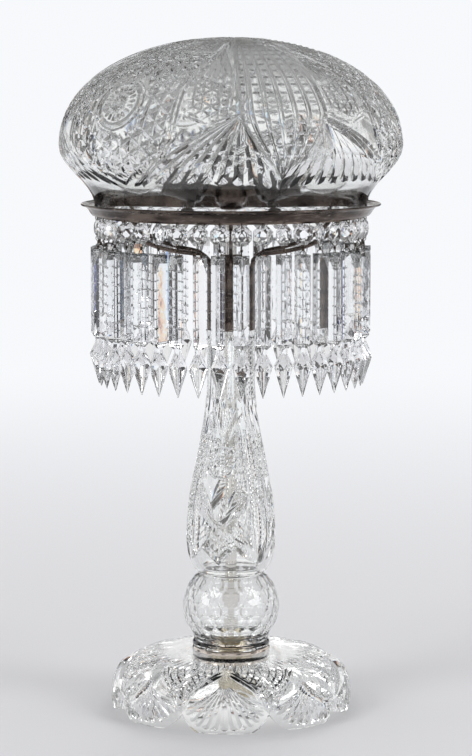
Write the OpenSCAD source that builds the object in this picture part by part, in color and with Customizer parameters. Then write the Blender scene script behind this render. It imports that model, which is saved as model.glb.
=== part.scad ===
// Cut glass mushroom lamp with a ring of hanging drops.
// Origin on the table under the lamp's axis, +Z up. The front of the lamp faces -Y.

/* [Shade] */
// Greatest radius of the glass dome
shade_r = 152; // [145:1:158]
// Height of the dome above its widest line
shade_rise = 94.5; // [85:0.5:105]
// Height of the widest line above the shade's foot
shade_drop = 53; // [48:1:58]
// Outer radius of the shade's foot
shade_foot_r = 121; // [119:0.5:121]
// Thickness of the shade's glass
shade_wall = 7; // [5:0.5:8]
// Depth of the main cuts in the shade
shade_cut_depth = 1.8; // [1.2:0.1:2.2]

/* [Ring] */
// Height of the seat that carries the shade
seat_z = 453; // [453:1:453]
// Inner radius of the ring's seat
ring_bore_r = 110; // [106:1:112]
// Outer radius of the ring's flared lip
ring_lip_r = 133; // [130:0.5:136]
// Thickness of the ring's metal
ring_metal = 1.4; // [1.2:0.1:1.6]

/* [Drops] */
// Number of hanging drops
drop_count = 40; // [36:1:40]
// Radius of the circle that the drops hang on
drop_circle_r = 117.5; // [117:0.1:118]
// Height of the point that a drop swings about
drop_pivot_z = 442.2; // [442:0.1:442.4]
// Radius of the wire rings and links
wire_r = 0.35; // [0.3:0.05:0.4]
// Half of a button's width across its flats
button_r = 8.7; // [8.4:0.1:8.8]
// Thickness of a button
button_t = 7; // [6:0.5:7]
// Side of a prism's three-sided section
prism_side = 14.5; // [13:0.1:15]
// Length of a prism from its top edge to its point
prism_len = 121.7; // [118:0.1:124]
// Greatest radius of the spear at a prism's lower end
spear_r = 8.5; // [8:0.1:8.5]

/* [Standard] */
// Radius of the glass neck
neck_r = 21.5; // [20:0.1:22]
// Height of the top of the glass standard
standard_top_z = 342; // [336:1:348]
// Greatest radius of the vase
vase_r = 40.2; // [38:0.1:42]
// Height of the vase's widest line
vase_z = 156; // [154:1:158]
// Height of the waist between the vase and the knop
waist_z = 123.7; // [123:0.1:125]
// Radius of the waist
waist_r = 28.4; // [27:0.1:30]
// Greatest radius of the knop
knop_r = 43.4; // [42:0.1:45]
// Height of the knop's middle
knop_z = 92; // [91:0.5:93]
// Thickness of the standard's glass
standard_wall = 7; // [5:0.5:8]

/* [Base] */
// Radius over the lobes of the base
base_r = 108.5; // [104:0.5:112]
// Height of the base's flat top
base_h = 52; // [52:1:52]
// Number of lobes
lobe_count = 8; // [8:1:8]
// Radius of one lobe's round edge
lobe_r = 52; // [50:0.5:56]
// Turn of the lobes about the axis, in degrees
lobe_turn = -3; // [-22:1:22]
// Height of the arch cut between two lobes
arch_h = 13; // [10:1:14]
// Depth of the main cuts in the base
base_cut_depth = 2.4; // [1.6:0.1:2.6]
// Thickness of the base's glass
base_wall = 14; // [12:0.5:15]

/* [Lights] */
// Tilt of the lamp holders above the horizontal, in degrees
holder_tilt = 16; // [12:1:35]
// Outer radius of a lamp holder
holder_r = 17; // [16:0.5:18]
// Radius of a bulb's glass
bulb_r = 24; // [20:1:26]
// Outer radius of the centre pipe
pipe_r = 5.1; // [5.1:0.1:5.1]
// Radius of the centre pipe's bore
pipe_bore_r = 4; // [3.5:0.1:4]

/* [Hidden] */
$fa = 4;
$fs = 0.4;
eps = 0.01;

glass = [0.86, 0.89, 0.91, 0.55];
dark_bronze = [0.24, 0.19, 0.16];
nickel = [0.78, 0.77, 0.74];
brass = [0.72, 0.58, 0.34];
silvered = [0.76, 0.72, 0.68];
ivory = [0.88, 0.84, 0.74];

shade_mid_z = seat_z + shade_drop;
dome_power = 2.1;
foot_steps = 12;
dome_steps = 20;

rail_t = 1;
rail_bottom_z = drop_pivot_z + 0.4;
rail_hole_r = 0.8;
ring_loop_r = 2.6;
skirt_bottom_r = 123;
skirt_bottom_z = 444.5;
lip_z = 454;
seat_outer_r = 127.6;

button_z = drop_pivot_z - 0.35 - button_r;
button_hole_in = 1.8;
button_edge_t = 1.4;
button_table_r = 3.7;
link_loop_r = 2.4;
prism_loop_r = 3;
link_hole_r = 1.05;
link_shank = 2;
upper_link_z = button_z - button_r - 0.35;
lower_link_z = upper_link_z - link_loop_r - prism_loop_r - link_shank;
prism_top_z = lower_link_z - 0.5;
prism_tip_z = prism_top_z - prism_len;
spear_point = 24.5;
spear_crown = 13.5;
spear_neck_r = 3.6;
bar_bottom_z = prism_tip_z + spear_point + spear_crown + 4;
first_drop_turn = -90 + 180 / drop_count;

arm_count = 6;
arm_r = 2;
arm_path = [[18, 396], [24, 404], [35, 410.5], [54, 413.5], [76, 419], [94, 427.5], [105, 438], [112, 452]];

collar_top_z = 400;
collar_bore_r = 18.5;

plate_t = 3.5;
knop_foot_z = base_h + plate_t;
knop_foot_r = 33;
knop_foot_h = 11;
knop_rise = 41.5;
vase_steps = 14;
neck_blend_z = 300;

base_power = 3.4;
base_side_z = 10;
base_rise = 42.6;
base_steps = 12;
hollow_top_z = base_h - base_wall;
washer_t = 2.5;
flare_h = 4;
lobe_centre_r = base_r + 1 - lobe_r;
arch_half = 17;

arch_line = [[1, -0.08], [0.55, 0.3], [0.25, 0.66], [0.07, 1]];

cut_lift = 1.5;
cut_run_out = 0.3;
cut_slope = 1.3;
ladder_turn = 18;
ladder_line = [[15.2, 12], [15.2, 24], [15.2, 36], [15.2, 48], [15.2, 60], [15, 72], [13, 80],
               [10.8, 86], [6.6, 95], [3.6, 102]];
border_line = [[19, 17], [24, 29], [31, 44], [34.5, 58], [35.5, 71], [36.5, 85], [40, 95], [47, 106],
               [52, 111]];

pipe_bottom_z = 28;
pipe_top_z = 458;
hub_z = 462;
nut_h = 6;
nut_r = 11;
holder_back = 22;
holder_front = 60;
holder_wall = 1.6;
key_shaft_r = 1.5;
key_gap = 0.05;
key_at = 32;

drop_names = [for (i = [1 : drop_count]) str("drop_", i < 10 ? "0" : "", i)];

// Half of a cosine wave, from 1 at t = 0 down to 0 at t = 1
function fall(t) = (1 + cos(180 * t)) / 2;

// Radius of a dome of the given reach at angle a of its quarter, with the given power
function super_r(reach, power, a) = reach * pow(cos(a), 2 / power);
function super_z(rise, power, a) = rise * pow(sin(a), 2 / power);

// Side of the shade, inset by the wall's thickness on the inside
function shade_line(inset) = concat(
    [for (i = [0 : foot_steps]) let (t = 1 - i / foot_steps)
        [shade_foot_r - inset + (shade_r - shade_foot_r) * fall(t), shade_mid_z - shade_drop * t]],
    [for (i = [1 : dome_steps - 1]) let (a = 90 * i / dome_steps)
        [super_r(shade_r - inset, dome_power, a),
         shade_mid_z + super_z(shade_rise - inset, dome_power, a)]],
    [[0, shade_mid_z + shade_rise - inset]]
);

function back(list) = [for (i = [len(list) - 1 : -1 : 0]) list[i]];

// Point of a turned side as [radius, height]: on the shade h runs from 0 at its crown over 90 at its
// widest line to 130 at its foot, on the base it is the height itself
function shade_rz(h) = h <= 90
    ? [super_r(shade_r, dome_power, 90 - h), shade_mid_z + super_z(shade_rise, dome_power, 90 - h)]
    : let (t = (h - 90) / 40)
        [shade_foot_r + (shade_r - shade_foot_r) * fall(t), shade_mid_z - shade_drop * t];
function lobe_reach(turn) = let (
    one = 360 / lobe_count,
    off = abs((turn - lobe_turn + one / 2 + 720) % one - one / 2)
) lobe_centre_r * cos(off) + sqrt(pow(lobe_r, 2) - pow(lobe_centre_r * sin(off), 2));
function base_rz(turn, z) = let (
    a = asin(pow(max(z - base_side_z, 0) / base_rise, base_power / 2)),
    side_r = z < base_side_z ? base_r - (base_side_z - z) * 0.2 : super_r(base_r, base_power, a)
) [min(side_r, lobe_reach(turn)), z];

// A place on a side, with the direction that points out of the glass there
function skin(above, at, below, turn) = let (
    step = (below - above) / norm(below - above),
    way = [cos(turn - 90), sin(turn - 90)]
) [[at[0] * way[0], at[0] * way[1], at[1]], [-step[1] * way[0], -step[1] * way[1], step[0]]];
function on_shade(path) = [for (p = path)
    skin(shade_rz(p[1] - 0.5), shade_rz(p[1]), shade_rz(p[1] + 0.5), p[0])];
function on_base(path) = [for (p = path)
    skin(base_rz(p[0], p[1] + 0.5), base_rz(p[0], p[1]), base_rz(p[0], p[1] - 0.5), p[0])];

// V-shaped cut along a path on a side: it runs out at both ends or closes on itself
module mitre_cut(path, deep, closed = false) {
    count = len(path);
    rings = [for (i = [0 : count - 1]) let (
        depth = !closed && (i == 0 || i == count - 1) ? -cut_run_out : deep,
        ahead = path[closed ? (i + 1) % count : min(i + 1, count - 1)][0],
        behind = path[closed ? (i + count - 1) % count : max(i - 1, 0)][0],
        at = path[i][0], out = path[i][1],
        over = cross(out, ahead - behind),
        side = over / norm(over) * (depth + cut_lift) * cut_slope
    ) [at + out * cut_lift - side, at - out * depth, at + out * cut_lift + side]];
    polyhedron(
        points = [for (ring = rings) each ring],
        faces = concat(
            closed ? [] : [[0, 1, 2], [3 * count - 1, 3 * count - 2, 3 * count - 3]],
            [for (i = [0 : closed ? count - 1 : count - 2]) for (k = [0 : 2]) for (half = [0, 1])
                let (a = 3 * i, b = 3 * ((i + 1) % count), next = (k + 1) % 3)
                half == 0 ? [a + k, b + k, b + next] : [a + k, b + next, a + next]]
        )
    );
}

// Places from one to another, close together near the end that is named first
function straight_path(from, to) = [for (t = [0.12, 0.3, 0.5, 0.7, 0.86, 1]) from * (1 - t) + to * t];

// One third of the shade's main cuts: a ribbed band, a fan and a border on each side of it, and the
// ring round one star
module shade_cuts() {
    for (share = [-0.39, 0.28])
        mitre_cut(on_shade([for (p = ladder_line) if (p[1] > 20 && p[1] < 96) [p[0] * share, p[1]]]),
                  shade_cut_depth);
    for (side = [-1, 1]) {
        mitre_cut(on_shade([for (p = ladder_line) [p[0] * side, p[1]]]), shade_cut_depth);
        mitre_cut(on_shade([for (p = border_line) [p[0] * side, p[1]]]), shade_cut_depth);
        for (tip = [16, 28, 41])
            mitre_cut(on_shade(straight_path([14.6 * side, 73], [tip * side, 112])), shade_cut_depth);
    }
    mitre_cut(on_shade([for (a = [0 : 22.5 : 337.5]) [60 + 9 * cos(a), 67 + 12 * sin(a)]]),
              shade_cut_depth, closed = true);
}

module shade_glass() {
    color(glass)
        difference() {
            rotate_extrude()
                polygon(concat(shade_line(0), back(shade_line(shade_wall))));
            for (i = [0 : 2])
                rotate(ladder_turn + 120 * i)
                    shade_cuts();
        }
}

// Spun ring: a flared skirt with a flat seat inside it for the shade's foot
module gallery_ring() {
    skirt = [[skirt_bottom_r, skirt_bottom_z], [124.6, 446.4], [126.2, 449], [127.9, 451.2],
             [130, 452.8], [ring_lip_r - 0.5, lip_z - 0.2]];
    color(dark_bronze)
        rotate_extrude() {
            polygon(concat(skirt, [for (p = back(skirt)) [p[0] - ring_metal, p[1] + 0.5]]));
            translate([ring_lip_r - 1, lip_z])
                circle(r = 1, $fn = 24);
            translate([ring_bore_r, seat_z - ring_metal])
                square([seat_outer_r - ring_bore_r, ring_metal]);
        }
}

// Pierced strip under the seat; each hole carries one drop's wire ring
module prism_rail() {
    color(dark_bronze)
        difference() {
            rotate_extrude()
                translate([drop_circle_r - rail_t / 2, rail_bottom_z])
                    square([rail_t, seat_z - ring_metal - rail_bottom_z]);
            for (i = [0 : drop_count - 1])
                rotate(first_drop_turn + 360 / drop_count * i)
                    translate([drop_circle_r - 3, 0, drop_pivot_z + ring_loop_r])
                        rotate([0, 90, 0])
                            cylinder(h = 6, r = rail_hole_r, $fn = 24);
        }
}

// Smooth curve through a list of points, with n steps between each two
function between(p0, p1, p2, p3, t) =
    0.5 * (2 * p1 + (p2 - p0) * t + (2 * p0 - 5 * p1 + 4 * p2 - p3) * t * t
           + (3 * p1 - p0 - 3 * p2 + p3) * t * t * t);
function smooth(path, n) = let (last = len(path) - 1) concat(
    [for (i = [0 : last - 1]) for (k = [0 : n - 1])
        between(path[max(i - 1, 0)], path[i], path[i + 1], path[min(i + 2, last)], k / n)],
    [path[last]]);

// Round bar along a curve that lies in the XZ plane
module bar_along(path, r, sides) {
    count = len(path);
    rings = [for (i = [0 : count - 1])
        let (step = path[min(i + 1, count - 1)] - path[max(i - 1, 0)], along = step / norm(step))
        [for (k = [0 : sides - 1]) let (a = 360 * k / sides)
            [path[i][0] - along[1] * r * cos(a), r * sin(a), path[i][1] + along[0] * r * cos(a)]]];
    polyhedron(
        points = [for (ring = rings) each ring],
        faces = concat(
            [[for (k = [sides - 1 : -1 : 0]) k]],
            [for (i = [0 : count - 2]) for (k = [0 : sides - 1]) let (next = (k + 1) % sides)
                [i * sides + k, i * sides + next, (i + 1) * sides + next, (i + 1) * sides + k]],
            [[for (k = [0 : sides - 1]) (count - 1) * sides + k]]
        )
    );
}

// Curved bars from the collar to the underside of the ring's seat, each with a small foot
module ring_arms() {
    foot_top_z = seat_z - ring_metal;
    color(dark_bronze)
        for (i = [0 : arm_count - 1])
            rotate(-90 + 360 / arm_count * i)
                difference() {
                    union() {
                        bar_along(smooth(arm_path, 3), arm_r, 10);
                        translate([112, 0, foot_top_z - 3])
                            cylinder(h = 3, r = 4);
                    }
                    translate([0, 0, collar_top_z - 40])
                        cylinder(h = 60, r = neck_r);
                    translate([90, -20, foot_top_z])
                        cube([40, 40, 20]);
                    difference() {
                        cylinder(h = 500, r = 140);
                        translate([0, 0, -1])
                            cylinder(h = 502, r = drop_circle_r - rail_t / 2);
                    }
                }
}

module neck_collar() {
    color(dark_bronze)
        rotate_extrude()
            polygon([[pipe_r, collar_top_z - 3], [collar_bore_r, collar_top_z - 3],
                     [collar_bore_r, standard_top_z], [neck_r, standard_top_z],
                     [neck_r, collar_top_z - 1], [neck_r - 1, collar_top_z], [12, collar_top_z + 1],
                     [10, collar_top_z + 8], [9, collar_top_z + 9], [pipe_r, collar_top_z + 9]]);
}

// Outer line of the glass standard from its foot to its top
function standard_line() = let (
    foot_a = asin((knop_z - knop_foot_z - knop_foot_h) / knop_rise),
    waist_a = asin((waist_z - knop_z) / knop_rise)
) concat(
    [[knop_foot_r + 1, knop_foot_z], [knop_foot_r, knop_foot_z + 3]],
    [for (i = [0 : vase_steps]) let (a = -foot_a + (waist_a + foot_a) * i / vase_steps)
        [knop_r * cos(a), knop_z + knop_rise * sin(a)]],
    [for (i = [1 : 7]) let (a = 90 * i / 7)
        [waist_r + (vase_r - waist_r) * sin(a), vase_z - (vase_z - waist_z) * cos(a)]],
    [for (i = [1 : vase_steps]) let (t = i / vase_steps)
        [neck_r + (vase_r - neck_r) * fall(t), vase_z + (neck_blend_z - vase_z) * t]],
    [[neck_r, standard_top_z]]
);

// The same line inside the glass: never closer to the axis than the clear bore
function standard_bore() = [
    for (p = standard_line()) [
        p[1] < knop_foot_z + 4 ? 22 : max(p[0] - standard_wall, 13.5),
        p[1]
    ]
];

module standard_glass() {
    color(glass)
        rotate_extrude()
            polygon(concat(standard_line(), back(standard_bore())));
}

// Silvered plate with a rolled edge between the knop and the base
module foot_collar() {
    color(silvered)
        rotate_extrude()
            polygon([[pipe_r, base_h], [knop_foot_r + 0.5, base_h], [knop_foot_r + 2, base_h + 1],
                     [knop_foot_r + 2, knop_foot_z - 1], [knop_foot_r + 1.2, knop_foot_z],
                     [pipe_r, knop_foot_z]]);
}

// Upper or, when inset, lower side of the base's dome
function base_line(inset) = [
    for (i = [0 : base_steps]) let (a = 90 * i / base_steps)
        [super_r(base_r - inset, base_power, a),
         min(base_h - inset, base_side_z + super_z(base_rise - inset, base_power, a))]
];

module lobed_plan() {
    circle(r = lobe_centre_r + 20);
    for (i = [0 : lobe_count - 1])
        rotate(-90 + lobe_turn + 360 / lobe_count * i)
            translate([lobe_centre_r, 0])
                circle(r = lobe_r);
}

// Hollow dome with round lobes and a small arch between each two
module base_glass() {
    color(glass)
        difference() {
            intersection() {
                rotate_extrude()
                    polygon(concat([[0, 0], [base_r - 2, 0]], base_line(0)));
                linear_extrude(height = base_h + 1)
                    lobed_plan();
            }
            rotate_extrude()
                polygon(concat([[0, -1], [base_r - base_wall, -1]], base_line(base_wall)));
            for (i = [0 : lobe_count - 1])
                rotate(-90 + lobe_turn + 360 / lobe_count * (i + 0.5))
                    translate([base_r - 40, 0, 0])
                        rotate([90, 0, 90])
                            linear_extrude(height = 60)
                                polygon([for (side = [-1, 1]) for (p = side < 0 ? arch_line : back(arch_line))
                                    [p[0] * arch_half * side, p[1] * arch_h]]);
            for (i = [0 : lobe_count - 1]) let (mid = lobe_turn + 360 / lobe_count * i) {
                for (tip = [-13, 0, 13])
                    mitre_cut(on_base(straight_path([mid, 40], [mid + tip, 4])), base_cut_depth);
                mitre_cut(on_base([for (z = [arch_h + 5, 25, 33, 40, 45, 49]) [mid + 180 / lobe_count, z]]),
                          base_cut_depth);
            }
            translate([0, 0, -1])
                cylinder(h = base_h + 2, r = pipe_r + 1.5);
        }
}

module washer(z, r, h, top_r) {
    translate([0, 0, z])
        rotate_extrude()
            polygon([[pipe_r, 0], [r, 0], [top_r, h], [pipe_r, h]]);
}

// Flared washer inside the knop and flat washer under the base's top
module base_washers() {
    color(brass) {
        washer(knop_foot_z, 17, flare_h, 8);
        washer(hollow_top_z - washer_t, 22, washer_t, 22);
    }
}

module hex_nut(z, r, h) {
    translate([0, 0, z])
        difference() {
            cylinder(h = h, r = r, $fn = 6);
            translate([0, 0, -1])
                cylinder(h = h + 2, r = pipe_r);
        }
}

module base_locknuts() {
    color(brass) {
        hex_nut(knop_foot_z + flare_h, nut_r, nut_h);
        hex_nut(hollow_top_z - washer_t - nut_h, nut_r, nut_h);
    }
}

// Insulating bush in the pipe's lower end, where the lead comes in
module cord_bush() {
    color(ivory)
        rotate_extrude()
            polygon([[3.2, pipe_bottom_z - 4], [7, pipe_bottom_z - 4], [7, pipe_bottom_z - 1],
                     [6, pipe_bottom_z], [pipe_bore_r, pipe_bottom_z], [pipe_bore_r, pipe_bottom_z + 6],
                     [3.2, pipe_bottom_z + 6]]);
}

module centre_pipe() {
    color(nickel)
        rotate_extrude()
            translate([pipe_bore_r, pipe_bottom_z])
                square([pipe_r - pipe_bore_r, pipe_top_z - pipe_bottom_z]);
}

// Sleeves on the pipe, in the knop and at the waist
module pipe_couplings() {
    color(nickel) {
        washer(93, 8.5, 12, 8.5);
        washer(114, 7.4, 9, 7.4);
    }
}

// Places a holder's own frame, whose Z runs along the holder, on the left (-1) or right (1) side
module holder_frame(side) {
    translate([0, 0, hub_z])
        rotate([0, side * (90 - holder_tilt), 0])
            children();
}

module cluster_body() {
    color(dark_bronze)
        difference() {
            union() {
                rotate_extrude()
                    polygon([[0, 446], [8, 446], [10, 449], [10, 452], [14, 455], [15, 460], [15, 466],
                             [13, 471], [8, 475], [4, 477], [4, 480], [2, 482], [0, 482]]);
                for (side = [-1, 1])
                    holder_frame(side)
                        cylinder(h = holder_back, r = 6);
            }
            translate([0, 0, 440])
                cylinder(h = pipe_top_z - 440, r = pipe_r);
        }
}

module lamp_holder(side) {
    color(brass)
        holder_frame(side)
            difference() {
                union() {
                    rotate_extrude()
                        polygon([[0, holder_back], [9, holder_back], [15, holder_back + 3],
                                 [holder_r, holder_back + 7], [holder_r, holder_front - 4],
                                 [holder_r + 1, holder_front - 2], [holder_r + 1, holder_front],
                                 [0, holder_front]]);
                    translate([side * holder_r * 0.9, 0, key_at])
                        rotate([0, side * 90, 0])
                            cylinder(h = 6, r = 4);
                }
                translate([0, 0, holder_back + 4])
                    cylinder(h = holder_front, r = holder_r - holder_wall);
                translate([0, 0, key_at])
                    rotate([0, side * 90, 0])
                        cylinder(h = 40, r = key_shaft_r + key_gap);
            }
}

// Bulb with its screw cap, seated on the holder's floor
module bulb(side) {
    cap_r = 13;
    neck = holder_front + 2;
    middle = neck + bulb_r;
    start_a = asin(cap_r / bulb_r);
    color([0.95, 0.93, 0.86])
        holder_frame(side)
            rotate_extrude()
                polygon(concat(
                    [[0, holder_back + 4], [4, holder_back + 4], [4, holder_back + 7],
                     [cap_r - 2, holder_back + 10], [cap_r, holder_back + 13]],
                    [for (i = [0 : 12]) let (a = start_a + (180 - start_a) * i / 12)
                        [bulb_r * sin(a), middle - bulb_r * cos(a)]]
                ));
}

// Flat key on a round shaft, turned to switch the lamp
module switch_key(side) {
    color(brass)
        holder_frame(side)
            translate([0, 0, key_at])
                rotate([0, side * 90, 0]) {
                    translate([0, 0, 14.5])
                        cylinder(h = 11, r = key_shaft_r);
                    translate([0, 0, 22])
                        cylinder(h = 3, r = 3);
                    intersection() {
                        translate([-6, -1, 24])
                            cube([12, 2, 10]);
                        translate([0, 5, 29])
                            rotate([90, 0, 0])
                                cylinder(h = 10, r = 6);
                    }
                }
}

module wire_ring(r) {
    rotate([90, 0, 0])
        rotate_extrude()
            translate([r, 0])
                circle(r = wire_r, $fn = 16);
}

// Eight-sided button, bevelled on both faces and pierced at its top and bottom
module button() {
    table = button_t / 2;
    edge = button_edge_t / 2;
    half = [[-table, button_table_r], [-edge, button_r], [edge, button_r], [table, button_table_r]];
    difference() {
        intersection_for(turn = [0, 45, 90, 135])
            rotate([turn, 0, 0])
                rotate([90, 0, 0])
                    linear_extrude(height = 4 * button_r, center = true)
                        polygon(concat(half, [for (p = back(half)) [p[0], -p[1]]]));
        for (side = [-1, 1])
            translate([-10, 0, side * (button_r - button_hole_in)])
                rotate([0, 90, 0])
                    cylinder(h = 20, r = link_hole_r, $fn = 24);
    }
}

// Three-sided bar with blunt edges, a thinned and pierced top, and a six-sided spear below
module prism() {
    bar_h = prism_top_z - bar_bottom_z;
    corner_r = prism_side / sqrt(3);
    difference() {
        union() {
            intersection() {
                translate([0, 0, bar_bottom_z])
                    linear_extrude(height = bar_h)
                        intersection() {
                            circle(r = corner_r, $fn = 3);
                            rotate(60)
                                circle(r = 2 * (corner_r - 0.9), $fn = 3);
                        }
                translate([0, 20, 0])
                    rotate([90, 0, 0])
                        linear_extrude(height = 40)
                            polygon([[-1.6, prism_top_z], [1.6, prism_top_z], [9, prism_top_z - 20],
                                     [9, bar_bottom_z], [-9, bar_bottom_z], [-9, prism_top_z - 20]]);
            }
            translate([0, 0, bar_bottom_z - 4])
                cylinder(h = 4 + eps, r1 = spear_neck_r, r2 = 4, $fn = 6);
            translate([0, 0, prism_tip_z + spear_point])
                cylinder(h = spear_crown + eps, r1 = spear_r, r2 = spear_neck_r, $fn = 6);
            translate([0, 0, prism_tip_z])
                cylinder(h = spear_point, r1 = 0.3, r2 = spear_r, $fn = 6);
        }
        translate([-10, 0, prism_top_z - 1.9])
            rotate([0, 90, 0])
                cylinder(h = 20, r = link_hole_r, $fn = 24);
    }
}

// One hanging drop; each prism has turned on its wire to an angle of its own
module drop(index) {
    prism_turn = (index * 47) % 120;
    rotate(first_drop_turn + 360 / drop_count * index)
        translate([drop_circle_r, 0, 0]) {
            color(brass) {
                translate([0, 0, drop_pivot_z])
                    wire_ring(ring_loop_r);
                union() {
                    translate([0, 0, upper_link_z])
                        wire_ring(link_loop_r);
                    translate([0, 0, lower_link_z + prism_loop_r])
                        cylinder(h = link_shank, r = wire_r, $fn = 16);
                    translate([0, 0, lower_link_z])
                        rotate(prism_turn)
                            wire_ring(prism_loop_r);
                }
            }
            color(glass)
                translate([0, 0, button_z])
                    button();
            color(glass)
                rotate(prism_turn)
                    prism();
        }
}

shade_glass();
gallery_ring();
prism_rail();
ring_arms();
neck_collar();
standard_glass();
foot_collar();
base_glass();
base_washers();
base_locknuts();
cord_bush();
centre_pipe();
pipe_couplings();
cluster_body();
lamp_holder(-1);  // lamp_holder_left
lamp_holder(1);  // lamp_holder_right
bulb(-1);  // bulb_left
bulb(1);  // bulb_right
switch_key(-1);  // switch_key_left
switch_key(1);  // switch_key_right
for (i = [0 : drop_count - 1])
    drop(i);
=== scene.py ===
"""Cut glass mushroom lamp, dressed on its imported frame. Sizes are in millimetres until a mesh is made."""

import math

import bpy
import numpy as np
from mathutils import Matrix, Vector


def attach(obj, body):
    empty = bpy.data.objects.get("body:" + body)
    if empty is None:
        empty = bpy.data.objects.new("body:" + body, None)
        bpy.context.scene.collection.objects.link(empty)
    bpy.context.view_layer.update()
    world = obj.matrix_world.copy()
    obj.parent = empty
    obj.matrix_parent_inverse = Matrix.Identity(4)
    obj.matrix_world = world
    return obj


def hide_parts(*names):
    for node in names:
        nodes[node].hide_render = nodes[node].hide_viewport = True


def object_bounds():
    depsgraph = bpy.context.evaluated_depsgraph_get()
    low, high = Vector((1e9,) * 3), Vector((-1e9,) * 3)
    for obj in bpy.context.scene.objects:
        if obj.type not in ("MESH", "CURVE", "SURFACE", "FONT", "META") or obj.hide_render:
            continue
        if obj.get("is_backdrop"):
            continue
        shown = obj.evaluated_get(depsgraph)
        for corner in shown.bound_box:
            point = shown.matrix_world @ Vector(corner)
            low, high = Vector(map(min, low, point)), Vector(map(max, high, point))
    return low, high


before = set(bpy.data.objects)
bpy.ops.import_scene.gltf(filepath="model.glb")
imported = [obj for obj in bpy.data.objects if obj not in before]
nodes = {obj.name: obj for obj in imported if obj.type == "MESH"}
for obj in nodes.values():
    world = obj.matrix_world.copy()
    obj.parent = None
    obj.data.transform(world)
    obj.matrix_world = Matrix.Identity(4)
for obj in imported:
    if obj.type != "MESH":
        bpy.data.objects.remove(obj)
cad_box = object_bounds()

MM = 0.001
SHADE_MID_Z = 506.0
SHADE_R = 152.0
SHADE_RISE = 94.5
SHADE_WALL = 7.0
DOME_POWER = 2.1
FOOT_R = 121.0
FOOT_DROP = 53.0


# ---- lines turned about the lamp's axis


def cosine_fall(t):
    return (1 + np.cos(np.pi * t)) / 2


def dome_line(inset, steps):
    """The shade's side from its crown to its foot, as (radius, height)."""
    a = np.linspace(90, 0, steps)[:-1] * np.pi / 180
    reach, rise = SHADE_R - inset, SHADE_RISE - inset
    crown = [(reach * math.cos(t) ** (2 / DOME_POWER) if t < 1.57 else 0.0,
              SHADE_MID_Z + rise * math.sin(t) ** (2 / DOME_POWER)) for t in a]
    side = [(FOOT_R - inset + (SHADE_R - FOOT_R) * cosine_fall(t), SHADE_MID_Z - FOOT_DROP * t)
            for t in np.linspace(0, 1, steps // 3)]
    return crown + side


class Turned:
    """A surface turned from (radius, height) points. A place is (degrees from the front, run in mm)."""

    def __init__(self, line, key):
        self.line = np.array(line, float)
        step = np.hypot(*np.diff(self.line, axis=0).T)
        self.run = np.concatenate([[0], np.cumsum(step)])
        self.key = key
        self.keys = np.array([key(r, z) for r, z in self.line])

    def at(self, turn, run):
        """Points and outward normals, each as an array of (x, y, z)."""
        turn, run = np.broadcast_arrays(np.asarray(turn, float), np.asarray(run, float))
        def line_at(v, k):
            return np.interp(v, self.run, self.line[:, k])
        r, z = line_at(run, 0), line_at(run, 1)
        dr, dz = (line_at(run + 1, k) - line_at(run - 1, k) for k in (0, 1))
        size = np.hypot(dr, dz)
        a = np.radians(turn - 90)
        point = np.stack([r * np.cos(a), r * np.sin(a), z], -1)
        normal = np.stack([-dz / size * np.cos(a), -dz / size * np.sin(a), dr / size], -1)
        return point, normal

    def place(self, points):
        """(turn, run) of points near the surface."""
        x, y, z = np.moveaxis(np.asarray(points), -1, 0)
        reach = np.hypot(x, y).ravel()
        keys = np.array([self.key(r, h) for r, h in zip(reach, z.ravel())]).reshape(x.shape)
        order = np.argsort(self.keys)
        run = np.interp(keys, self.keys[order], self.run[order])
        return np.stack([np.degrees(np.arctan2(x, -y)), run], -1)

    def straight(self, a, b, count):
        """Places along the cut that a wheel makes straight from a to b."""
        pa, pb = self.at(*a)[0], self.at(*b)[0]
        t = np.linspace(0, 1, count)[:, None]
        return self.place(pa * (1 - t) + pb * t)


# ---- cutters: slabs that lie on a surface, with the cut as their underside


def facing(surface, centre):
    """The point at a place, with the level and the upward direction along the surface there."""
    point, normal = surface.at(*centre)
    across = np.cross([0, 0, 1.0], normal)
    across /= np.linalg.norm(across)
    return point, across, np.cross(normal, across)


def slab(points, normals, depth, rise, ring=False):
    """A closed slab from rise above the surface down to depth below it, on a grid of points."""
    depth = np.maximum(depth, -rise + 0.03)
    n, m = depth.shape
    top = points + normals * rise
    low = points - normals * depth[..., None]
    verts = np.concatenate([top.reshape(-1, 3), low.reshape(-1, 3)])
    faces = []
    last = m if ring else m - 1
    for i in range(n - 1):
        for j in range(last):
            k = (j + 1) % m
            a, b, c, d = i * m + j, i * m + k, (i + 1) * m + k, (i + 1) * m + j
            faces.append((a, b, c, d))
            a, b, c, d = (v + n * m for v in (a, b, c, d))
            faces += [(a, c, b), (a, d, c)] if (i + j) % 2 == 0 else [(a, d, b), (b, d, c)]
    def wall(p, q):
        faces.append((q, p, p + n * m, q + n * m))
    for j in range(last):
        k = (j + 1) % m
        wall(j, k)
        wall((n - 1) * m + k, (n - 1) * m + j)
    if not ring:
        for i in range(n - 1):
            wall((i + 1) * m, i * m)
            wall(i * m + m - 1, (i + 1) * m + m - 1)
    outward = np.cross(np.diff(top[:-1], axis=1), np.diff(top[:, :-1], axis=0))
    if (outward * normals[:-1, :-1]).sum() < 0:
        faces = [face[::-1] for face in faces]
    return verts, faces


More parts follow.
